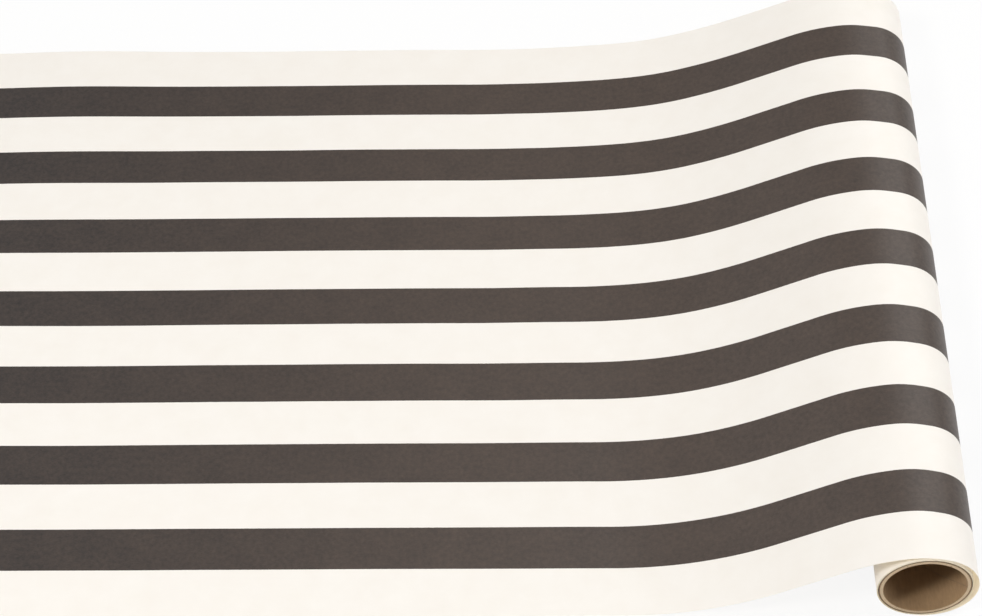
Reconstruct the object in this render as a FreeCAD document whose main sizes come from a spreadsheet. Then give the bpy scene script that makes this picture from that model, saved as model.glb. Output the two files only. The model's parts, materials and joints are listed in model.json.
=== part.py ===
import FreeCAD, Part
import Sketcher
import math
import os

# A roll of striped gift wrap, partly unrolled on a table.
# Millimetres. The tube's axis lies along Y through the origin, +Z is up, and the free
# sheet runs off the top of the roll towards -X and lies on the table.

Vector = FreeCAD.Vector
doc = FreeCAD.newDocument("WrappingPaperRoll")

# ---- sizes -------------------------------------------------------------------------

driving = [
    ("webWidth", 508, "width of the paper, and length of the tube"),
    ("paperThickness", 0.12, "caliper of the paper"),
    ("coreBore", 50.8, "inside diameter of the tube"),
    ("linerThickness", 0.3, "innermost ply of the tube"),
    ("boardThickness", 0.575, "each board ply of the tube"),
    ("boardPlies", 4, "number of board plies"),
    ("coverThickness", 0.3, "outermost ply of the tube"),
    ("glueLine", 0.02, "glue between two layers"),
    ("stripAdvance", 150, "how far a ply's strip moves along the tube in one turn"),
    ("seamOpening", 0.8, "opening of a ply's butt seam, along the tube"),
    ("tapeWidth", 12, "starter tape, measured round the tube"),
    ("tapeThickness", 0.12, "starter tape, paper backed and sticky on both sides"),
    ("tapeMargin", 20, "bare tube at each end of the starter tape"),
    ("windings", 6, "whole turns of paper wound on the tube"),
    ("windingAir", 0.02, "air between two turns of wound paper"),
    ("lapClearance", 0.3, "air between the roll and the loose lap where it is tightest"),
    ("frontSlack", 3, "sideways looseness of the lap at the -Y end"),
    ("backSlack", 9, "sideways looseness of the lap at the +Y end"),
    ("leaveAngle", 5.5, "turn past the top at which the sheet leaves the roll, degrees"),
    ("shoulderRadius", 115, "bend of the sheet where it leaves the roll"),
    ("slopeAngle", 26.5, "steepest slope of the sheet, degrees"),
    ("slopeLength", 35, "straight part of the slope"),
    ("flatRun", 480, "sheet lying flat on the table"),
]
workedOut = [
    ("coreRadius", "=coreBore / 2 + linerThickness + boardPlies * boardThickness"
                   " + coverThickness + (boardPlies + 1) * glueLine"),
    ("windStart", "=coreRadius + tapeThickness + 2 * glueLine"),
    ("windingPitch", "=paperThickness + windingAir"),
    ("rollRadius", "=windStart + windings * windingPitch + paperThickness"),
    ("lapRadius", "=rollRadius + lapClearance + paperThickness"),
]

sheet = doc.addObject("Spreadsheet::Sheet", "Sizes")
for row, (alias, value, note) in enumerate(driving, start=1):
    sheet.set(f"A{row}", note)
    sheet.set(f"B{row}", str(value))
    sheet.setAlias(f"B{row}", alias)
for row, (alias, formula) in enumerate(workedOut, start=len(driving) + 2):
    sheet.set(f"A{row}", "worked out")
    sheet.set(f"B{row}", formula)
    sheet.setAlias(f"B{row}", alias)
doc.recompute()


def size(alias):
    """A number from the sheet."""
    return float(sheet.get(alias))


# ---- helpers -----------------------------------------------------------------------

parts = []
middle = Vector(0, 0, 0)
upward = Vector(0, 0, 1)
layAlongY = FreeCAD.Rotation(Vector(1, 0, 0), -90)   # a tube built along Z lies along Y
standSketchUp = FreeCAD.Rotation(Vector(1, 0, 0), 90)   # a sketch's Y becomes +Z


def newBody(label):
    """A body built with its axis along Z and laid down along Y."""
    body = doc.addObject("PartDesign::Body", label)
    body.Label = label
    body.Placement = FreeCAD.Placement(middle, layAlongY)
    parts.append(body)
    return body


def originFeature(body, role):
    return next(f for f in body.Origin.OriginFeatures if f.Role == role)


def newSketch(body, name, role):
    sketch = body.newObject("Sketcher::SketchObject", name)
    sketch.AttachmentSupport = [(originFeature(body, role), "")]
    sketch.MapMode = "FlatFace"
    return sketch


def drive(sketch, kind, target, name, expression, start):
    """Adds one named constraint to a sketch and binds it to the sheet."""
    index = sketch.addConstraint(Sketcher.Constraint(kind, *target, start))
    sketch.renameConstraint(index, name)
    sketch.setExpression(f"Constraints.{name}", expression)


def pad(body, sketch, name, length):
    """Pads a sketch to both sides of its plane."""
    feature = body.newObject("PartDesign::Pad", name)
    feature.Profile = sketch
    feature.SideType = "Symmetric"
    feature.setExpression("Length", length)
    doc.recompute()
    return feature


# ---- tube: spiral-wound plies, each one strip with a butt seam ------------------------


def addPly(label, innerRadius, thickness, seamShift):
    """One ply of the tube. The three sizes are expressions.

    The ply is a tube split by a helical seam, so that what is left is a single
    strip wound round and round. seamShift, in parts of the strip's advance, keeps
    the seams of neighbouring plies apart.
    """
    body = newBody(label)

    ring = newSketch(body, f"{label}_ring", "XY_Plane")
    for name, radius in (("inside", innerRadius), ("outside", f"{innerRadius} + {thickness}")):
        circle = ring.addGeometry(Part.Circle(middle, upward, size("coreRadius")))
        ring.addConstraint(Sketcher.Constraint("Coincident", circle, 3, -1, 1))
        drive(ring, "Radius", (circle,), name, radius, size("coreRadius"))
    wall = pad(body, ring, f"{label}_wall", "Sizes.webWidth")
    wholeWall = wall.Shape.Volume

    # the seam's cutter stands out of both faces of the wall and past both ends
    seam = newSketch(body, f"{label}_seam", "XZ_Plane")
    radius = size("coreRadius")
    lift = size("webWidth") / 2 + size("stripAdvance")
    corners = [
        Vector(radius, -lift, 0),
        Vector(radius + 1, -lift, 0),
        Vector(radius + 1, 1 - lift, 0),
        Vector(radius, 1 - lift, 0),
    ]
    for number in range(4):
        seam.addGeometry(Part.LineSegment(corners[number], corners[(number + 1) % 4]))
    for number in range(4):
        seam.addConstraint(Sketcher.Constraint("Coincident", number, 2, (number + 1) % 4, 1))
    for number, direction in enumerate(("Horizontal", "Vertical", "Horizontal", "Vertical")):
        seam.addConstraint(Sketcher.Constraint(direction, number))
    fromAxis = (-1, 1, 0, 1)
    drive(seam, "DistanceX", fromAxis, "near", f"{innerRadius} - {thickness} / 2", radius)
    drive(seam, "DistanceX", (0, 1, 0, 2), "deep", f"2 * {thickness}", 1)
    drive(seam, "DistanceY", (1, 1, 1, 2), "opening", "Sizes.seamOpening", 1)
    drive(
        seam, "DistanceY", (0, 1, -1, 1), "foot",
        f"Sizes.webWidth / 2 + (1 - {seamShift}) * Sizes.stripAdvance", lift,
    )
    doc.recompute()

    cut = body.newObject("PartDesign::SubtractiveHelix", f"{label}_split")
    cut.Profile = seam
    cut.ReferenceAxis = (originFeature(body, "Z_Axis"), [""])
    cut.Mode = "pitch-height-angle"
    cut.setExpression("Pitch", "Sizes.stripAdvance")
    cut.setExpression("Height", "Sizes.webWidth + 2 * Sizes.stripAdvance")
    doc.recompute()
    if cut.Shape.Volume >= wholeWall:
        raise RuntimeError(f"the seam of {label} cuts nothing")


plies = [("core_liner_ply", "Sizes.linerThickness")]
plies += [(f"core_board_ply_{n}", "Sizes.boardThickness") for n in range(1, int(size("boardPlies")) + 1)]
plies += [("core_cover_ply", "Sizes.coverThickness")]

radiusSoFar = "Sizes.coreBore / 2"
for number, (label, thickness) in enumerate(plies):
    addPly(label, f"({radiusSoFar})", thickness, f"{number} / {len(plies)}")
    radiusSoFar += f" + {thickness} + Sizes.glueLine"

# ---- starter tape: holds the inner end of the paper to the tube ------------------------

tapeBody = newBody("starter_tape")
tapeSketch = newSketch(tapeBody, "starter_tape_section", "XY_Plane")
tapeSpan = size("tapeWidth") / size("coreRadius")
tapeInside = size("coreRadius") + size("glueLine")
tapeOutside = tapeInside + size("tapeThickness")
straightDown = math.radians(90)   # the body is laid down with its sketch Y pointing to -Z


def tapeArc(radius):
    circle = Part.Circle(middle, upward, radius)
    return Part.ArcOfCircle(circle, straightDown - tapeSpan, straightDown)


def tapeCorner(radius, angle):
    return Vector(radius * math.cos(angle), radius * math.sin(angle), 0)


tapeSketch.addGeometry(tapeArc(tapeInside))
tapeSketch.addGeometry(tapeArc(tapeOutside))
for angle in (straightDown - tapeSpan, straightDown):
    tapeSketch.addGeometry(
        Part.LineSegment(tapeCorner(tapeInside, angle), tapeCorner(tapeOutside, angle))
    )
for arc in (0, 1):
    tapeSketch.addConstraint(Sketcher.Constraint("Coincident", arc, 3, -1, 1))
for line, arcEnd in ((2, 1), (3, 2)):
    tapeSketch.addConstraint(Sketcher.Constraint("Coincident", line, 1, 0, arcEnd))
    tapeSketch.addConstraint(Sketcher.Constraint("Coincident", line, 2, 1, arcEnd))
tapeSketch.addConstraint(Sketcher.Constraint("PointOnObject", -1, 1, 2))
tapeSketch.addConstraint(Sketcher.Constraint("Vertical", 3))
tapeSketch.addConstraint(Sketcher.Constraint("PointOnObject", 3, 1, -2))
drive(tapeSketch, "Radius", (0,), "inside", "Sizes.coreRadius + Sizes.glueLine", tapeInside)
drive(
    tapeSketch, "Radius", (1,), "outside",
    "Sizes.coreRadius + Sizes.glueLine + Sizes.tapeThickness", tapeOutside,
)
drive(
    tapeSketch, "Angle", (0,), "span",
    "Sizes.tapeWidth / Sizes.coreRadius * 1 rad", tapeSpan,
)
pad(tapeBody, tapeSketch, "starter_tape_strip", "Sizes.webWidth - 2 * Sizes.tapeMargin")

# ---- wound web: the paper still on the tube, one spiral sheet ------------------------------


def spiral(startRadius, pitch, turns):
    """A spiral from half-turn arcs, outward from straight below the axis.

    Each half turn is a true arc that grows the radius by half the pitch, so its
    centre sits a quarter of the pitch above or below the axis in turn.
    """
    arcs = []
    for half in range(2 * turns):
        side = -1 if half % 2 == 0 else 1
        before = startRadius + half * pitch / 2
        after = before + pitch / 2
        begin = Vector(0, 0, side * before)
        end = Vector(0, 0, -side * after)
        bulge = Vector(-side * (before + after) / 2, 0, -side * pitch / 4)
        arcs.append(Part.Arc(begin, bulge, end).toShape())
    return arcs


def windWeb():
    turns = int(size("windings"))
    pitch = size("windingPitch")
    back = spiral(size("windStart"), pitch, turns)
    face = spiral(size("windStart") + size("paperThickness"), pitch, turns)
    ends = [
        Part.makeLine(back[end].Vertexes[end].Point, face[end].Vertexes[end].Point)
        for end in (0, -1)
    ]
    section = Part.Face(Part.Wire(Part.sortEdges(back + face + ends)[0]))
    section.translate(Vector(0, -size("webWidth") / 2, 0))
    return section.extrude(Vector(0, size("webWidth"), 0))


woundWeb = doc.addObject("Part::Feature", "wound_web")
woundWeb.Label = "wound_web"
woundWeb.Shape = windWeb()
woundWeb.Placement = FreeCAD.Placement()
parts.append(woundWeb)

# ---- running sheet: the loose lap, the slope and the flat run, one sheet of paper ------------


def onCircle(centre, radius, degrees):
    angle = math.radians(degrees)
    return centre + Vector(radius * math.cos(angle), radius * math.sin(angle), 0)


def arcOf(centre, radius, fromDegrees, toDegrees):
    circle = Part.Circle(centre, upward, radius)
    return Part.ArcOfCircle(circle, math.radians(fromDegrees), math.radians(toDegrees))


def sheetPath(name, slack, yExpression):
    """The printed face of the sheet, seen from -Y, as a sketch that is fully held.

    It starts flat on the table straight below the axis, goes round the loose side
    and over the top, follows the roll to the leave angle, bends down over the
    shoulder, runs straight, and bends back to lie flat on the table.
    """
    lap = size("lapRadius")
    leave = 90 + size("leaveAngle")
    steep = 90 + size("slopeAngle")
    shoulder = size("shoulderRadius")
    tableTop = size("paperThickness") - lap
    side = Vector(size(slack), 0, 0)

    leavePoint = onCircle(middle, lap, leave)
    shoulderCentre = onCircle(leavePoint, shoulder, leave - 180)
    slopeTop = onCircle(shoulderCentre, shoulder, steep)
    slopeFoot = onCircle(slopeTop, size("slopeLength"), steep + 90)
    footRadius = (slopeFoot.y - tableTop) / (1 - math.cos(math.radians(size("slopeAngle"))))
    footCentre = onCircle(slopeFoot, footRadius, steep)
    landing = Vector(footCentre.x, tableTop, 0)

    path = doc.addObject("Sketcher::SketchObject", name)
    path.addGeometry([
        Part.LineSegment(onCircle(middle, lap, -90), onCircle(side, lap, -90)),
        arcOf(side, lap, -90, 90),
        Part.LineSegment(onCircle(side, lap, 90), onCircle(middle, lap, 90)),
        arcOf(middle, lap, 90, leave),
        arcOf(shoulderCentre, shoulder, leave, steep),
        Part.LineSegment(slopeTop, slopeFoot),
        arcOf(footCentre, footRadius, -90, steep - 180),
        Part.LineSegment(landing, landing - Vector(size("flatRun"), 0, 0)),
    ])
    bottom, loose, top, hug, shoulderArc, slope, foot, flat = range(8)
    start, end, centre = 1, 2, 3
    origin = (-1, 1)
    path.addConstraint([
        Sketcher.Constraint("PointOnObject", bottom, start, -2),
        Sketcher.Constraint("Horizontal", bottom),
        Sketcher.Constraint("Tangent", bottom, end, loose, start),
        Sketcher.Constraint("PointOnObject", loose, centre, -1),
        Sketcher.Constraint("Tangent", loose, end, top, start),
        Sketcher.Constraint("Coincident", hug, centre, *origin),
        Sketcher.Constraint("Equal", loose, hug),
        Sketcher.Constraint("Tangent", top, end, hug, start),
        Sketcher.Constraint("Tangent", hug, end, shoulderArc, start),
        Sketcher.Constraint("Tangent", shoulderArc, end, slope, start),
        Sketcher.Constraint("Tangent", slope, end, foot, end),
        Sketcher.Constraint("Tangent", foot, start, flat, start),
        Sketcher.Constraint("Horizontal", flat),
    ])
    degree = math.radians(1)
    drive(path, "Distance", (bottom,), "slack", f"Sizes.{slack}", size(slack))
    drive(path, "Radius", (loose,), "lap", "Sizes.lapRadius", lap)
    drive(path, "Angle", (hug,), "leave", "Sizes.leaveAngle * 1 deg", size("leaveAngle") * degree)
    drive(path, "Radius", (shoulderArc,), "shoulder", "Sizes.shoulderRadius", shoulder)
    drive(
        path, "Angle", (shoulderArc,), "bend",
        "(Sizes.slopeAngle - Sizes.leaveAngle) * 1 deg", (steep - leave) * degree,
    )
    drive(path, "Distance", (slope,), "straight", "Sizes.slopeLength", size("slopeLength"))
    drive(
        path, "DistanceY", (flat, start, *origin), "table",
        "Sizes.lapRadius - Sizes.paperThickness", -tableTop,
    )
    drive(path, "Distance", (flat,), "run", "Sizes.flatRun", size("flatRun"))
    path.Placement = FreeCAD.Placement(middle, standSketchUp)
    path.setExpression("Placement.Base.y", yExpression)
    return path


def sheetSection(name, path):
    """The path given the paper's thickness, towards the roll and the table."""
    section = doc.addObject("Part::Offset2D", name)
    section.Source = path
    section.Mode = "Skin"
    section.setExpression("Value", "Sizes.paperThickness")
    section.Fill = True
    return section


frontPath = sheetPath("front_path", "frontSlack", "-Sizes.webWidth / 2")
backPath = sheetPath("back_path", "backSlack", "Sizes.webWidth / 2")
doc.recompute()
frontSection = sheetSection("front_section", frontPath)
backSection = sheetSection("back_section", backPath)
doc.recompute()

runningSheet = doc.addObject("Part::Loft", "running_sheet")
runningSheet.Label = "running_sheet"
runningSheet.Sections = [frontSection, backSection]
runningSheet.Solid = True
runningSheet.Ruled = True
parts.append(runningSheet)

# ---- check and write ------------------------------------------------------------------

doc.recompute()
for item in doc.Objects:
    if "Invalid" in item.State or "Error" in item.State:
        raise RuntimeError(f"{item.Name} did not build: {item.State}")
for path in (frontPath, backPath):
    if path.solve() != 0:
        raise RuntimeError(f"{path.Name} does not solve")
os.makedirs("parts", exist_ok=True)
for part in parts:
    shape = part.Shape
    if shape.isNull() or not shape.isValid() or len(shape.Solids) != 1:
        raise RuntimeError(f"{part.Label} is not one sound solid")
for part in parts:
    part.Shape.exportStep(f"parts/{part.Label}.step")
    print(part.Label, round(part.Shape.Volume, 1), "mm3")
print("roll radius", size("rollRadius"), "axis height", size("lapRadius"))
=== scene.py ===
import json
import math

import bmesh
import bpy
from mathutils import Matrix, Vector, noise


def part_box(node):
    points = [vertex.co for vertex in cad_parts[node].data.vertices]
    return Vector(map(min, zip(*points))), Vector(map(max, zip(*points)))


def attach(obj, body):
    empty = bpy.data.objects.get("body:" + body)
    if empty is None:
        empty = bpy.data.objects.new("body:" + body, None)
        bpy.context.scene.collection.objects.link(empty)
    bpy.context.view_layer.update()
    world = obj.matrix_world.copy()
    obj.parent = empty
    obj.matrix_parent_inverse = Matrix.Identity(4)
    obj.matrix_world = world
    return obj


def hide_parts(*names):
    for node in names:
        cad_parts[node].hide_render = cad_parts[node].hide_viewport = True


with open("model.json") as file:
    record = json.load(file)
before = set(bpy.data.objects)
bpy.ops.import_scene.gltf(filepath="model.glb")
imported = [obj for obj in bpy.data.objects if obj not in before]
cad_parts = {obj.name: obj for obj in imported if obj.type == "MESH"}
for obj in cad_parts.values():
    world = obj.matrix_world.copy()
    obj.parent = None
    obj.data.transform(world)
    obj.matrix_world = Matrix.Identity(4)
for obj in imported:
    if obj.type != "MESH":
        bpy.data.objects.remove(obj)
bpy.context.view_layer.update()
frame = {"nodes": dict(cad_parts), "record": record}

scene = bpy.context.scene

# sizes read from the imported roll, in metres
sheetLow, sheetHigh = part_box("running_sheet")
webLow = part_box("wound_web")[0]
boreMount = next(m for m in frame["record"]["mounts"] if m["name"] == "core_bore")
halfWidth = sheetHigh.y
lapRadius = -sheetLow.z
rollRadius = -webLow.z
boreRadius = boreMount["dims"]["r_mm"] / 1000
print("frame read: lap radius", round(lapRadius, 5), "half width", round(halfWidth, 4))

# camera, floor and light

cameraPlace = {
    "at": (-0.2480, -1.0618, 1.2035),
    "turned": 0.984,      # degrees to the left of straight across the paper
    "down": 49.318,
    "roll": -1.012,
    "lens": 86.36,
    "sensor": 36.0,
}


def makeCamera(place):
    camera = bpy.data.objects.new("camera", bpy.data.cameras.new("camera"))
    camera.data.lens = place["lens"]
    camera.data.sensor_width = place["sensor"]
    camera.data.clip_start = 0.05
    camera.data.clip_end = 50.0
    turn = Matrix.Rotation(math.radians(place["turned"]), 4, "Z")
    tilt = Matrix.Rotation(math.radians(90 - place["down"]), 4, "X")
    roll = Matrix.Rotation(math.radians(place["roll"]), 4, "Z")
    camera.matrix_world = Matrix.Translation(place["at"]) @ turn @ tilt @ roll
    scene.collection.objects.link(camera)
    scene.camera = camera


makeCamera(cameraPlace)

studio = {
    "floorSize": 24.0,
    "floorColour": (0.90, 0.90, 0.90, 1.0),
    "floorWhite": 0.88,      # how far the seen floor is lifted towards white
    "worldStrength": 0.20,
    "lamps": [
        # name, place, size, power, colour
        ("keyLeft", (-1.30, -0.95, 1.75), 0.5, 20.9, (1.0, 0.985, 0.96)),
        ("overRight", (0.60, 0.20, 2.10), 1.3, 21.5, (1.0, 0.99, 0.97)),
        ("backRight", (1.20, 1.60, 1.50), 1.2, 11.5, (1.0, 0.99, 0.97)),
        ("lowRight", (1.80, -0.60, 0.50), 0.9, 7.5, (1.0, 0.99, 0.98)),
        ("right", (1.60, 0.10, 1.10), 1.1, 2.4, (1.0, 0.99, 0.98)),
        ("leftBack", (-1.45, 1.15, 1.25), 1.1, 3.2, (1.0, 0.99, 0.98)),
        ("lowLeft", (-1.90, -0.70, 0.50), 0.9, 4.5, (1.0, 0.985, 0.96)),
    ],
    "aim": (-0.20, 0.0, 0.0),
}


def addNode(tree, kind, place, inputs=None, **settings):
    made = tree.nodes.new(kind)
    made.location = place
    for name, value in settings.items():
        setattr(made, name, value)
    for name, value in (inputs or {}).items():
        made.inputs[name].default_value = value
    return made


def seenWhite(tree, place):
    # 1 for what the camera sees, in a mirror and through glass too, and 0 for light on other things
    path = addNode(tree, "ShaderNodeLightPath", place)
    either = addNode(tree, "ShaderNodeMath", (place[0] + 200, place[1]), operation="MAXIMUM")
    anyOf = addNode(tree, "ShaderNodeMath", (place[0] + 400, place[1]), operation="MAXIMUM")
    tree.links.new(path.outputs["Is Camera Ray"], either.inputs[0])
    tree.links.new(path.outputs["Is Glossy Ray"], either.inputs[1])
    tree.links.new(either.outputs[0], anyOf.inputs[0])
    tree.links.new(path.outputs["Is Transmission Ray"], anyOf.inputs[1])
    return anyOf.outputs[0]


def makeFloor(values):
    material = bpy.data.materials.new("paleTable")
    material.use_nodes = True
    tree = material.node_tree
    tree.nodes.clear()
    output = addNode(tree, "ShaderNodeOutputMaterial", (800, 0))
    matt = addNode(tree, "ShaderNodeBsdfDiffuse", (300, 0), {"Color": values["floorColour"]})
    white = addNode(tree, "ShaderNodeEmission", (300, -150), {"Strength": 1.0})
    share = addNode(tree, "ShaderNodeMath", (450, 200), {1: values["floorWhite"]}, operation="MULTIPLY")
    mix = addNode(tree, "ShaderNodeMixShader", (620, 0))
    tree.links.new(seenWhite(tree, (-150, 250)), share.inputs[0])
    tree.links.new(share.outputs[0], mix.inputs["Fac"])
    tree.links.new(matt.outputs[0], mix.inputs[1])
    tree.links.new(white.outputs[0], mix.inputs[2])
    tree.links.new(mix.outputs[0], output.inputs["Surface"])

    shape = bmesh.new()
    bmesh.ops.create_grid(shape, x_segments=1, y_segments=1, size=values["floorSize"] / 2)
    bmesh.ops.translate(shape, verts=shape.verts, vec=(0, 0, -lapRadius))
    mesh = bpy.data.meshes.new("floor")
    shape.to_mesh(mesh)
    shape.free()
    mesh.materials.append(material)
    floor = bpy.data.objects.new("floor", mesh)
    scene.collection.objects.link(floor)


def makeWorld(strength):
    world = bpy.data.worlds.new("studio")
    world.use_nodes = True
    fill = world.node_tree.nodes["Background"]
    fill.inputs["Color"].default_value = (1.0, 0.995, 0.985, 1.0)
    fill.inputs["Strength"].default_value = strength
    scene.world = world


def hangLamp(name, at, size, power, colour):
    light = bpy.data.lights.new(name, "AREA")
    light.shape = "DISK"
    light.size = size
    light.energy = power
    light.color = colour
    lamp = bpy.data.objects.new(name, light)
    towards = Vector(studio["aim"]) - Vector(at)
    lamp.matrix_world = Matrix.Translation(at) @ towards.to_track_quat("-Z", "Y").to_matrix().to_4x4()
    scene.collection.objects.link(lamp)


scene.view_settings.view_transform = "Standard"
makeFloor(studio)
makeWorld(studio["worldStrength"])
for lamp in studio["lamps"]:
    hangLamp(*lamp)
print("camera, floor and light are set")

# effects that several materials share


def newGroup(name, inputs, outputs):
    group = bpy.data.node_groups.new(name, "ShaderNodeTree")
    for label, kind, value in inputs:
        socket = group.interface.new_socket(label, in_out="INPUT", socket_type=kind)
        if value is not None:
            socket.default_value = value
    for label in outputs:
        group.interface.new_socket(label, in_out="OUTPUT", socket_type="NodeSocketFloat")
    return group, addNode(group, "NodeGroupInput", (-900, 0)), addNode(group, "NodeGroupOutput", (900, 0))


def makeFibreGroup():
    # short felted fibres: a fine noise drawn out along the paper, over a finer even one
    group, given, result = newGroup(
        "paperFibres",
        [
            ("Vector", "NodeSocketVector", None),
            ("Scale", "NodeSocketFloat", 900.0),
            ("Drawn Out", "NodeSocketFloat", 3.0),
        ],
        ["Height", "Tint"],
    )
    parts = addNode(group, "ShaderNodeSeparateXYZ", (-700, 0))
    along = addNode(group, "ShaderNodeMath", (-520, 100), operation="DIVIDE")
    joined = addNode(group, "ShaderNodeCombineXYZ", (-340, 0))
    strands = addNode(group, "ShaderNodeTexNoise", (-150, 150), {"Detail": 6.0, "Roughness": 0.65})
    finer = addNode(group, "ShaderNodeMath", (-340, -200), {1: 2.7}, operation="MULTIPLY")
    specks = addNode(group, "ShaderNodeTexNoise", (-150, -150), {"Detail": 3.0, "Roughness": 0.5})
    height = addNode(group, "ShaderNodeMath", (150, 100), {1: 0.7}, operation="MULTIPLY_ADD")
    tint = addNode(group, "ShaderNodeMapRange", (150, -150), {"From Min": 0.3, "From Max": 0.7})
    group.links.new(given.outputs["Vector"], parts.inputs[0])
    group.links.new(parts.outputs["X"], along.inputs[0])
    group.links.new(given.outputs["Drawn Out"], along.inputs[1])
    group.links.new(along.outputs[0], joined.inputs["X"])
    group.links.new(parts.outputs["Y"], joined.inputs["Y"])
    group.links.new(parts.outputs["Z"], joined.inputs["Z"])
    group.links.new(joined.outputs[0], strands.inputs["Vector"])
    group.links.new(given.outputs["Scale"], strands.inputs["Scale"])
    group.links.new(given.outputs["Vector"], specks.inputs["Vector"])
    group.links.new(given.outputs["Scale"], finer.inputs[0])
    group.links.new(finer.outputs[0], specks.inputs["Scale"])
    group.links.new(strands.outputs["Fac"], height.inputs[0])
    group.links.new(specks.outputs["Fac"], height.inputs[2])
    group.links.new(strands.outputs["Fac"], tint.inputs["Value"])
    group.links.new(height.outputs[0], result.inputs["Height"])
    group.links.new(tint.outputs[0], result.inputs["Tint"])
    return group


def makeCloudGroup():
    # slow, cloudy unevenness, as in a sheet held up to the light
    group, given, result = newGroup(
        "cloudy",
        [("Vector", "NodeSocketVector", None), ("Scale", "NodeSocketFloat", 60.0)],
        ["Mask"],
    )
    cloud = addNode(group, "ShaderNodeTexNoise", (-300, 0), {"Detail": 4.0, "Roughness": 0.6})
    spread = addNode(group, "ShaderNodeMapRange", (0, 0), {"From Min": 0.28, "From Max": 0.72})
    group.links.new(given.outputs["Vector"], cloud.inputs["Vector"])
    group.links.new(given.outputs["Scale"], cloud.inputs["Scale"])
    group.links.new(cloud.outputs["Fac"], spread.inputs["Value"])
    group.links.new(spread.outputs[0], result.inputs["Mask"])
    return group


def makeRibGroup():
    # faint lines along the paper, left by the felt and the rollers of the machine
    group, given, result = newGroup(
        "machineLines",
        [
            ("Vector", "NodeSocketVector", None),
            ("Line Width", "NodeSocketFloat", 0.0011),
            ("Line Length", "NodeSocketFloat", 0.08),
        ],
        ["Height"],
    )
    parts = addNode(group, "ShaderNodeSeparateXYZ", (-700, 0))
    along = addNode(group, "ShaderNodeMath", (-500, 100), operation="DIVIDE")
    across = addNode(group, "ShaderNodeMath", (-500, -100), operation="DIVIDE")
    joined = addNode(group, "ShaderNodeCombineXYZ", (-300, 0))
    lines = addNode(group, "ShaderNodeTexNoise", (-100, 0), {"Scale": 1.0, "Detail": 2.0})
    group.links.new(given.outputs["Vector"], parts.inputs[0])
    group.links.new(parts.outputs["X"], along.inputs[0])
    group.links.new(given.outputs["Line Length"], along.inputs[1])
    group.links.new(parts.outputs["Y"], across.inputs[0])
    group.links.new(given.outputs["Line Width"], across.inputs[1])
    group.links.new(along.outputs[0], joined.inputs["X"])
    group.links.new(across.outputs[0], joined.inputs["Y"])
    group.links.new(joined.outputs[0], lines.inputs["Vector"])
    group.links.new(lines.outputs["Fac"], result.inputs["Height"])
    return group


fibreGroup = makeFibreGroup()
cloudGroup = makeCloudGroup()
ribGroup = makeRibGroup()


def addGroup(tree, group, place, inputs=None):
    made = addNode(tree, "ShaderNodeGroup", place, node_tree=group)
    for name, value in (inputs or {}).items():
        made.inputs[name].default_value = value
    return made


def newMaterial(name, fixed):
    # a material with its shader and output placed, and the shader's fixed values set on it
    material = bpy.data.materials.new(name)
    material.use_nodes = True
    tree = material.node_tree
    tree.nodes.clear()
    output = addNode(tree, "ShaderNodeOutputMaterial", (1400, 0))
    shader = addNode(tree, "ShaderNodeBsdfPrincipled", (800, 0), fixed)
    tree.links.new(shader.outputs[0], output.inputs["Surface"])
    return material, tree, shader


def letThrough(tree, shader):
    # adds a share of light that crosses the paper, and gives back the share's and the colour's sockets
    output = shader.outputs[0].links[0].to_socket
    crossing = addNode(tree, "ShaderNodeBsdfTranslucent", (900, -500))
    mix = addNode(tree, "ShaderNodeMixShader", (1200, 0))
    tree.links.new(shader.outputs[0], mix.inputs[1])
    tree.links.new(crossing.outputs[0], mix.inputs[2])
    tree.links.new(mix.outputs[0], output)
    return mix.inputs["Fac"], crossing.inputs["Color"]


def mixColours(tree, place, factor, first, second, blend="MIX"):
    # each of factor, first and second is an output socket or a plain value
    mix = addNode(tree, "ShaderNodeMix", place, data_type="RGBA", blend_type=blend)
    for socket, value in ((mix.inputs[0], factor), (mix.inputs[6], first), (mix.inputs[7], second)):
        if isinstance(value, bpy.types.NodeSocket):
            tree.links.new(value, socket)
        else:
            socket.default_value = value
    return mix.outputs[2]


def addBump(tree, place, height, distance, strength=1.0, before=None):
    bump = addNode(tree, "ShaderNodeBump", place, {"Strength": strength, "Distance": distance})
    tree.links.new(height, bump.inputs["Height"])
    if before is not None:
        tree.links.new(before, bump.inputs["Normal"])
    return bump.outputs["Normal"]


def spreadValue(tree, place, value, low, high):
    # takes a mask of 0 to 1 to low and high
    spread = addNode(tree, "ShaderNodeMapRange", place, {"To Min": low, "To Max": high})
    tree.links.new(value, spread.inputs["Value"])
    return spread.outputs[0]


# printed paper: cream stock, charcoal stripes along its length

printedPaper = {
    "shader": {"Specular IOR Level": 0.5, "Sheen Weight": 0.04, "Sheen Roughness": 0.4},
    "cream": (0.906, 0.874, 0.830, 1.0),
    "creamDark": (0.880, 0.842, 0.790, 1.0),
    "ink": (0.080, 0.0565, 0.0437, 1.0),
    # the ink's dark end: reached where its clouds lie heavy, and where painted shade darkens it along the
    # paper
    "inkHeavyAndShaded": (0.020, 0.0145, 0.0135, 1.0),
    "paintedShadeFrom": 0.40,       # along the paper, where painted shade starts to darken the ink towards its free end
    "paintedShadeAt": 0.80,
    "inkCloud": 0.46,          # how much of its unevenness is cloudy
    "inkSlow": 0.24,           # and how much is slow, over a few centimetres
    "firstStripe": 0.03501,    # from the near edge of the paper
    "stripeWidth": 0.03171,
    "stripePitch": 0.06728,
    "lastBare": 0.49,          # no ink past this, measured across the paper
    "inkEdge": 0.00008,        # half the width over which a stripe's edge fades
    "edgeWander": 0.00012,     # how far the fibres draw the edge aside
    "showThrough": 0.02,       # the most of the stock that shows through the ink
    "fibreScale": 1400.0,
    "drawnOut": 2.5,
    "cloudScale": 45.0,
    "inkCloudScale": 320.0,
    "creamRoughness": (0.52, 0.60),
    "inkRoughness": (0.46, 0.54),
    "grainDepth": 0.000015,
    "lineDepth": 0.00003,
}


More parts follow.
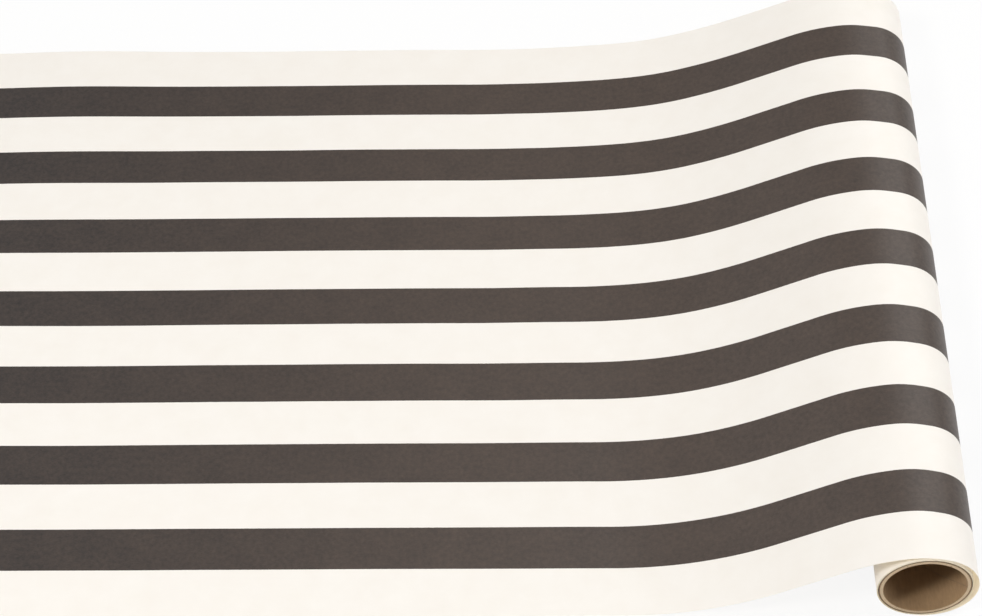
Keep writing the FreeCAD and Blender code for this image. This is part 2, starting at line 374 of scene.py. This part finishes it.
def stripeMask(tree, across, wander, values):
    # 1 on the stripes and 0 between them, from the distance across the paper
    half = values["stripeWidth"] / 2
    shifted = addNode(tree, "ShaderNodeMath", (-900, 500), {1: values["firstStripe"]}, operation="SUBTRACT")
    uneven = addNode(tree, "ShaderNodeMath", (-740, 500), {1: values["edgeWander"]}, operation="MULTIPLY_ADD")
    wrapped = addNode(
        tree, "ShaderNodeMath", (-580, 500), {1: values["stripePitch"]}, operation="FLOORED_MODULO",
    )
    centred = addNode(tree, "ShaderNodeMath", (-420, 500), {1: half}, operation="SUBTRACT")
    apart = addNode(tree, "ShaderNodeMath", (-260, 500), operation="ABSOLUTE")
    edge = addNode(
        tree, "ShaderNodeMapRange", (-100, 500),
        {"From Min": half + values["inkEdge"], "From Max": half - values["inkEdge"]},
    )
    inside = addNode(tree, "ShaderNodeMath", (-420, 650), {1: values["lastBare"]}, operation="LESS_THAN")
    both = addNode(tree, "ShaderNodeMath", (80, 550), operation="MULTIPLY")
    tree.links.new(across, shifted.inputs[0])
    tree.links.new(wander, uneven.inputs[0])
    tree.links.new(shifted.outputs[0], uneven.inputs[2])
    tree.links.new(uneven.outputs[0], wrapped.inputs[0])
    tree.links.new(wrapped.outputs[0], centred.inputs[0])
    tree.links.new(centred.outputs[0], apart.inputs[0])
    tree.links.new(apart.outputs[0], edge.inputs["Value"])
    tree.links.new(across, inside.inputs[0])
    tree.links.new(edge.outputs[0], both.inputs[0])
    tree.links.new(inside.outputs[0], both.inputs[1])
    return both.outputs[0]


def makePrintedPaper(values):
    material, tree, shader = newMaterial("printedPaper", values["shader"])
    onPaper = addNode(tree, "ShaderNodeUVMap", (-1300, 0), uv_map="paper")
    parts = addNode(tree, "ShaderNodeSeparateXYZ", (-1100, 300))
    tree.links.new(onPaper.outputs[0], parts.inputs[0])
    fibres = addGroup(
        tree, fibreGroup, (-900, 100),
        {"Scale": values["fibreScale"], "Drawn Out": values["drawnOut"]},
    )
    lines = addGroup(tree, ribGroup, (-900, -100))
    clouds = addGroup(tree, cloudGroup, (-900, -250), {"Scale": values["cloudScale"]})
    density = addGroup(tree, cloudGroup, (-900, -400), {"Scale": values["inkCloudScale"]})
    for group in (fibres, lines, clouds, density):
        tree.links.new(onPaper.outputs[0], group.inputs["Vector"])

    stripes = stripeMask(tree, parts.outputs["Y"], fibres.outputs["Tint"], values)
    bare = mixColours(tree, (-300, 250), clouds.outputs["Mask"], values["cream"], values["creamDark"])
    # painted shade: the ink grows darker along the paper towards its free end, standing in for the weaker
    # sheen there
    paintedInkShade = addNode(
        tree, "ShaderNodeMapRange", (-700, 700),
        {
            "From Min": values["paintedShadeFrom"],
            "From Max": values["paintedShadeAt"],
            "To Max": 1 - values["inkCloud"],
        },
    )
    tree.links.new(parts.outputs["X"], paintedInkShade.inputs["Value"])
    # the ink's own cloudy heaviness, added to the slow clouds and the painted shade
    inkDensityAndShade = addNode(tree, "ShaderNodeMath", (-500, -50), {1: values["inkCloud"]}, operation="MULTIPLY_ADD")
    slow = addNode(tree, "ShaderNodeMath", (-600, 50), {1: values["inkSlow"]}, operation="MULTIPLY_ADD")
    tree.links.new(clouds.outputs["Mask"], slow.inputs[0])
    tree.links.new(paintedInkShade.outputs[0], slow.inputs[2])
    tree.links.new(density.outputs["Mask"], inkDensityAndShade.inputs[0])
    tree.links.new(slow.outputs[0], inkDensityAndShade.inputs[2])
    inked = mixColours(tree, (-300, 0), inkDensityAndShade.outputs[0], values["ink"], values["inkHeavyAndShaded"])
    showThrough = spreadValue(tree, (-300, -200), fibres.outputs["Tint"], 0.0, values["showThrough"])
    inked = mixColours(tree, (-100, 0), showThrough, inked, values["cream"])
    colour = mixColours(tree, (200, 200), stripes, bare, inked)
    tree.links.new(colour, shader.inputs["Base Color"])

    bareRough = spreadValue(tree, (-100, -350), clouds.outputs["Mask"], *values["creamRoughness"])
    inkRough = spreadValue(tree, (-100, -550), density.outputs["Mask"], *values["inkRoughness"])
    rough = addNode(tree, "ShaderNodeMix", (200, -400), data_type="FLOAT")
    tree.links.new(stripes, rough.inputs[0])
    tree.links.new(bareRough, rough.inputs[2])
    tree.links.new(inkRough, rough.inputs[3])
    tree.links.new(rough.outputs[0], shader.inputs["Roughness"])

    grain = addBump(tree, (200, -700), fibres.outputs["Height"], values["grainDepth"])
    ribbed = addBump(tree, (400, -700), lines.outputs["Height"], values["lineDepth"], before=grain)
    tree.links.new(ribbed, shader.inputs["Normal"])

    # light that has entered by the back leaves through the print, and takes its colour
    side = addNode(tree, "ShaderNodeNewGeometry", (900, 300))
    share, tint = letThrough(tree, shader)
    tree.links.new(side.outputs["Backfacing"], share)
    tree.links.new(colour, tint)
    return material


# unprinted stock, paper and board alike

stock = {
    "paper": {
        "shader": {"Specular IOR Level": 0.3},
        "drawnOut": 3.0,
        "cloudScale": 70.0,
        "fibreShare": 0.5,     # how much of the mottle is fibres, and the rest is clouds
        "depth": 0.00003,
    },
    "board": {
        "shader": {"Specular IOR Level": 0.3, "Sheen Weight": 0.05},
        "drawnOut": 4.0,
        "cloudScale": 120.0,
        "fibreShare": 0.6,
        "depth": 0.00006,
    },
}


def finishStock(tree, shader, where, finish, values):
    # fibres over clouds, from a light to a dark shade
    light, dark, roughness, grain = finish
    share = values["fibreShare"]
    fibres = addGroup(tree, fibreGroup, (-600, 100), {"Scale": grain, "Drawn Out": values["drawnOut"]})
    clouds = addGroup(tree, cloudGroup, (-600, -150), {"Scale": values["cloudScale"]})
    tree.links.new(where, fibres.inputs["Vector"])
    tree.links.new(where, clouds.inputs["Vector"])
    mottle = addNode(tree, "ShaderNodeMath", (-350, 0), {1: share}, operation="MULTIPLY_ADD")
    cloudy = spreadValue(tree, (-350, -150), clouds.outputs["Mask"], 0.0, 1 - share)
    tree.links.new(fibres.outputs["Tint"], mottle.inputs[0])
    tree.links.new(cloudy, mottle.inputs[2])
    colour = mixColours(tree, (0, 100), mottle.outputs[0], light, dark)
    rough = spreadValue(tree, (0, -200), fibres.outputs["Tint"], *roughness)
    relief = addBump(tree, (300, -300), fibres.outputs["Height"], values["depth"])
    tree.links.new(colour, shader.inputs["Base Color"])
    tree.links.new(rough, shader.inputs["Roughness"])
    tree.links.new(relief, shader.inputs["Normal"])


# plain paper: the back of the sheet, and its cut edges

plainPaper = {
    # light, dark, roughness, grain
    "back": ((0.92, 0.85, 0.72, 1.0), (0.87, 0.79, 0.65, 1.0), (0.65, 0.80), 1000.0),
    # the cut edges are lighter and warmer than the back: partly the stock's own colour, partly a painted glow
    # standing in for light carried through the paper to its edges
    "edge": ((0.97, 0.88, 0.68, 1.0), (0.92, 0.82, 0.60, 1.0), (0.70, 0.85), 1000.0),
    "crossing": 0.5,      # share of the light that crosses the paper at its back
    "crossingTint": (1.0, 0.89, 0.68, 1.0),
}


def makePlainPaper(name, finish, crossing=0.0):
    material, tree, shader = newMaterial(name, stock["paper"]["shader"])
    onPaper = addNode(tree, "ShaderNodeUVMap", (-900, 0), uv_map="paper")
    finishStock(tree, shader, onPaper.outputs[0], finish, stock["paper"])
    if crossing:
        share, tint = letThrough(tree, shader)
        share.default_value = crossing
        tint.default_value = plainPaper["crossingTint"]
    return material


paperFace = makePrintedPaper(printedPaper)
paperBack = makePlainPaper("paperBack", plainPaper["back"], plainPaper["crossing"])
paperEdge = makePlainPaper("paperEdge", plainPaper["edge"])
print("printed and plain paper are ready")

# paths that paper follows, seen from the near end: X to the right, Z up


def direction(angle):
    return Vector((math.cos(angle), math.sin(angle)))


def pathLength(stretches):
    return sum(length for length, turn in stretches)


def followPath(start, stretches, distance):
    # the place and the heading at a distance along straight and round stretches
    place = Vector(start)
    heading = 0.0
    for length, turn in stretches:
        step = min(distance, length)
        bend = turn * step / length
        chord = step if turn == 0 else 2 * length / turn * math.sin(bend / 2)
        place += chord * direction(heading + bend / 2)
        heading += bend
        distance -= step
        if distance <= 0:
            break
    return place, heading


def flatPaper(length, columns, rows):
    # a flat sheet of the web's width, with a map that keeps its own metres when it is bent
    shape = bmesh.new()
    bmesh.ops.create_grid(shape, x_segments=columns, y_segments=rows, size=0.5)
    bmesh.ops.translate(shape, verts=shape.verts, vec=(0.5, 0, 0))
    bmesh.ops.scale(shape, verts=shape.verts, vec=(length, 2 * halfWidth, 1))
    onPaper = shape.loops.layers.uv.new("paper")
    for face in shape.faces:
        for corner in face.loops:
            corner[onPaper].uv = (corner.vert.co.x, corner.vert.co.y + halfWidth)
    return shape


def smoothButRims(shape):
    # smooth faces, with a crisp edge wherever a rim will be
    for face in shape.faces:
        face.smooth = True
    for edge in shape.edges:
        edge.smooth = not edge.is_boundary


def finishPaper(name, shape, thickness):
    # the bent sheet is the printed face, and its thickness goes to the back
    bmesh.ops.reverse_faces(shape, faces=shape.faces)
    smoothButRims(shape)
    mesh = bpy.data.meshes.new(name)
    shape.to_mesh(mesh)
    shape.free()
    for material in (paperFace, paperBack, paperEdge):
        mesh.materials.append(material)
    piece = bpy.data.objects.new(name, mesh)
    scene.collection.objects.link(piece)
    wall = piece.modifiers.new("thickness", "SOLIDIFY")
    wall.thickness = thickness
    wall.offset = -1.0
    wall.material_offset = 1
    wall.material_offset_rim = 2
    return piece


# running sheet: loose lap, crest, shoulder, slope and flat run

runningSheet = {
    "paper": 0.00012,
    # pairs hold the near and the far edge's value
    "slack": (0.0028, 0.0096),
    "leaves": (16.0, 7.1),          # degrees short of the top, where the lap leaves the roll
    "crestRadius": (0.048, 0.0635),
    "crestTurn": (10.1, 7.5),       # degrees past the top, where the crest gives way to the shoulder
    "shoulderRadius": (0.108, 0.124),
    "slopeAngle": (29.7, 24.0),
    "slopeLength": (0.044, 0.038),
    "columns": 404,
    "rows": 72,
    "endCurl": 0.004,
    "curlReach": 0.07,
    "cornerCurl": 0.6,              # how much more the corners curl than the middle
    "liftFrom": 0.06,               # before the axis, where waves and ripples set in
    "liftOver": 0.06,
    "waves": [
        # place along X at the near and the far edge, reach to either side, height near and far
        (-0.195, -0.208, 0.081, 0.0002, 0.0029),
        (-0.227, -0.315, 0.172, 0.0001, 0.0035),
        (-0.351, -0.507, 0.193, 0.0003, 0.0029),
        (-0.628, -0.590, 0.104, 0.0000, 0.0022),
    ],
    "ripple": 0.00018,
    "rippleSize": 0.055,
    "rippleMean": 0.6,
}


def bell(share):
    return (1 + math.cos(math.pi * share)) / 2 if abs(share) < 1 else 0.0


def between(pair, share):
    return pair[0] + (pair[1] - pair[0]) * share


def sheetStretches(share, values):
    slack = between(values["slack"], share)
    leaves = math.radians(between(values["leaves"], share))
    crestTurn = math.radians(between(values["crestTurn"], share))
    steep = math.radians(between(values["slopeAngle"], share))
    toFoot = [
        (slack, 0),
        (lapRadius * (math.pi - leaves), math.pi - leaves),
        (slack, 0),
        (between(values["crestRadius"], share) * (leaves + crestTurn), leaves + crestTurn),
        (between(values["shoulderRadius"], share) * (steep - crestTurn), steep - crestTurn),
        (between(values["slopeLength"], share), 0),
    ]
    foot, heading = followPath((0, -lapRadius), toFoot, pathLength(toFoot))
    footRadius = (foot.y + lapRadius - values["paper"]) / (1 - math.cos(steep))
    landing = foot.x - footRadius * math.sin(steep)
    return toFoot + [(footRadius * steep, -steep), (landing - sheetLow.x, 0)]


def liftOf(x, share, values):
    # how far the resting sheet stands off its even path: waves, ripples and the curl of its end
    lift = 0.0
    for nearPlace, farPlace, reach, nearHeight, farHeight in values["waves"]:
        middle = between((nearPlace, farPlace), share)
        lift += between((nearHeight, farHeight), share) * bell((x - middle) / reach)
    spot = Vector((x, share * 2 * halfWidth, 0)) / values["rippleSize"]
    lift += values["ripple"] * (noise.noise(spot) + values["rippleMean"])
    fromEnd = max(0.0, 1 - (x - sheetLow.x) / values["curlReach"])
    corner = 1 + values["cornerCurl"] * abs(2 * share - 1) ** 3
    lift += values["endCurl"] * corner * fromEnd ** 2
    onSlope = min(1.0, max(0.0, (-x - values["liftFrom"]) / values["liftOver"]))
    return max(0.0, lift) * onSlope


def makeRunningSheet(values):
    length = pathLength(sheetStretches(0.5, values))
    shape = flatPaper(length, values["columns"], values["rows"])
    rows = {}
    for vertex in shape.verts:
        share = round(vertex.co.y / (2 * halfWidth) + 0.5, 6)
        if share not in rows:
            stretches = sheetStretches(share, values)
            rows[share] = (stretches, pathLength(stretches) / length)
        stretches, longer = rows[share]
        place, heading = followPath((0, -lapRadius), stretches, vertex.co.x * longer)
        if heading > math.pi / 2:
            place += direction(heading - math.pi / 2) * liftOf(place.x, share, values)
        vertex.co = (place.x, vertex.co.y, place.y)
    piece = finishPaper("runningSheetPaper", shape, values["paper"])
    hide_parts("running_sheet")
    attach(piece, "sheet")
    return piece, length


# wound web: the turns of paper still on the tube

woundWeb = {
    "paper": 0.00012,
    "windings": 6,
    "air": 0.00002,
    "columnsPerTurn": 96,
    "rows": 24,
    "edgeUneven": 0.00025,    # how far the turns' edges stray along the tube
    "unevenSize": 0.09,
    "unevenStart": 4.2,       # which stretch of the noise they follow
}


def makeWoundWeb(values):
    pitch = values["paper"] + values["air"]
    start = rollRadius - values["windings"] * pitch
    stretches = []
    for half in range(2 * values["windings"]):
        stretches.append((math.pi * (start + (half + 0.5) * pitch / 2), math.pi))
    length = pathLength(stretches)
    shape = flatPaper(length, values["columnsPerTurn"] * values["windings"], values["rows"])
    for vertex in shape.verts:
        place, heading = followPath((0, -start), stretches, vertex.co.x)
        spot = Vector((vertex.co.x / values["unevenSize"], values["unevenStart"], 0))
        shift = noise.noise(spot) * values["edgeUneven"]
        vertex.co = (place.x, vertex.co.y + shift, place.y)
    piece = finishPaper("woundWebPaper", shape, values["paper"])
    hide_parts("wound_web")
    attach(piece, "roll")
    return piece, length


web, webLength = makeWoundWeb(woundWeb)
running, runningLength = makeRunningSheet(runningSheet)
print("paper is wound and laid:", round(webLength, 3), "and", round(runningLength, 3), "m")

# tube

tube = {
    # thicknesses, from the bore outwards
    "liner": 0.0003,
    "board": 0.000575,
    "boardPlies": 4,
    "cover": 0.0003,
    "glue": 0.00002,
    "advance": 0.150,       # along the tube for each turn of a strip
    "seam": 0.0008,         # left open between a strip's own edges
    "stepsPerTurn": 144,
}

boardFinishes = {
    # light, dark, roughness, grain
    "linerKraft": ((0.47, 0.313, 0.172, 1.0), (0.335, 0.219, 0.12, 1.0), (0.60, 0.75), 700.0),
    "tubeBoard": ((0.40, 0.28, 0.17, 1.0), (0.32, 0.22, 0.13, 1.0), (0.70, 0.85), 900.0),
    "outerBoard": ((0.36, 0.245, 0.145, 1.0), (0.28, 0.19, 0.11, 1.0), (0.75, 0.90), 900.0),
    # the cut ends of the board plies: lighter than the board's faces, partly as cut fibres are, and partly
    # painted light standing in for light from the front
    "cutBoard": ((0.74, 0.575, 0.39, 1.0), (0.62, 0.475, 0.31, 1.0), (0.75, 0.90), 900.0),
    "coverKraft": ((0.165, 0.088, 0.038, 1.0), (0.115, 0.060, 0.026, 1.0), (0.60, 0.75), 700.0),
}


def makeBoard(name, finish):
    material, tree, shader = newMaterial(name, stock["board"]["shader"])
    where = addNode(tree, "ShaderNodeTexCoord", (-1100, 0))
    turned = addNode(tree, "ShaderNodeMapping", (-900, 0))    # its fibres run along the tube
    turned.inputs["Rotation"].default_value = (0, 0, math.radians(90))
    tree.links.new(where.outputs["Object"], turned.inputs["Vector"])
    finishStock(tree, shader, turned.outputs[0], finish, stock["board"])
    return material


boards = {name: makeBoard(name, finish) for name, finish in boardFinishes.items()}


def windPly(name, node, inner, thickness, seamShift, face, rim):
    # one strip wound round the tube: a line along the tube, spun and moved on, then cut to length
    shape = bmesh.new()
    advance = tube["advance"]
    outer = inner + thickness
    begin = tube["seam"] - halfWidth - (2 - seamShift) * advance    # well before the near end
    near = shape.verts.new((outer, begin, 0))
    far = shape.verts.new((outer, begin + advance - tube["seam"], 0))
    line = shape.edges.new((near, far))
    turns = math.ceil(2 * halfWidth / advance) + 3                  # and on past the far end
    bmesh.ops.spin(
        shape, geom=[near, far, line], cent=(0, 0, 0), axis=(0, 1, 0),
        dvec=(0, advance / tube["stepsPerTurn"], 0), angle=turns * 2 * math.pi,
        steps=turns * tube["stepsPerTurn"], use_merge=False, use_duplicate=False,
    )
    for end in (-1, 1):
        bmesh.ops.bisect_plane(
            shape, geom=shape.verts[:] + shape.edges[:] + shape.faces[:],
            plane_co=(0, end * halfWidth, 0), plane_no=(0, end, 0), clear_outer=True,
        )
    bmesh.ops.remove_doubles(shape, verts=shape.verts, dist=0.000001)
    bmesh.ops.recalc_face_normals(shape, faces=shape.faces)
    smoothButRims(shape)
    mesh = bpy.data.meshes.new(name)
    shape.to_mesh(mesh)
    shape.free()
    mesh.materials.append(face)
    mesh.materials.append(rim)
    piece = bpy.data.objects.new(name, mesh)
    scene.collection.objects.link(piece)
    wall = piece.modifiers.new("thickness", "SOLIDIFY")
    wall.thickness = thickness
    wall.offset = -1.0
    wall.material_offset_rim = 1
    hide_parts(node)
    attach(piece, "roll")
    return outer + tube["glue"]


kraft, tan, cover = boards["linerKraft"], boards["tubeBoard"], boards["coverKraft"]
plies = [("linerPly", "core_liner_ply", tube["liner"], kraft, kraft, "tube_board")]
for number in range(1, tube["boardPlies"] + 1):
    rim = boards["outerBoard"] if number == tube["boardPlies"] else boards["cutBoard"]
    plies.append(
        (f"boardPly{number}", f"core_board_ply_{number}", tube["board"], tan, rim, "tube_board")
    )
plies.append(("coverPly", "core_cover_ply", tube["cover"], cover, cover, "tube_kraft"))

radius = boreRadius
for number, (name, node, thickness, face, rim, slot) in enumerate(plies):
    radius = windPly(name, node, radius, thickness, number / len(plies), face, rim)
print("tube is wound, outside radius", round(radius - tube["glue"], 5))

# starter tape: stays as it is, with its own finish

starterTape = {
    # light, dark, roughness, grain
    "tissue": ((0.80, 0.78, 0.70, 1.0), (0.72, 0.70, 0.62, 1.0), (0.3, 0.45), 1200.0),
}

tape = frame["nodes"]["starter_tape"]
tape.data.materials.clear()
tape.data.materials.append(makeBoard("tapeTissue", starterTape["tissue"]))
print("starter tape is finished")
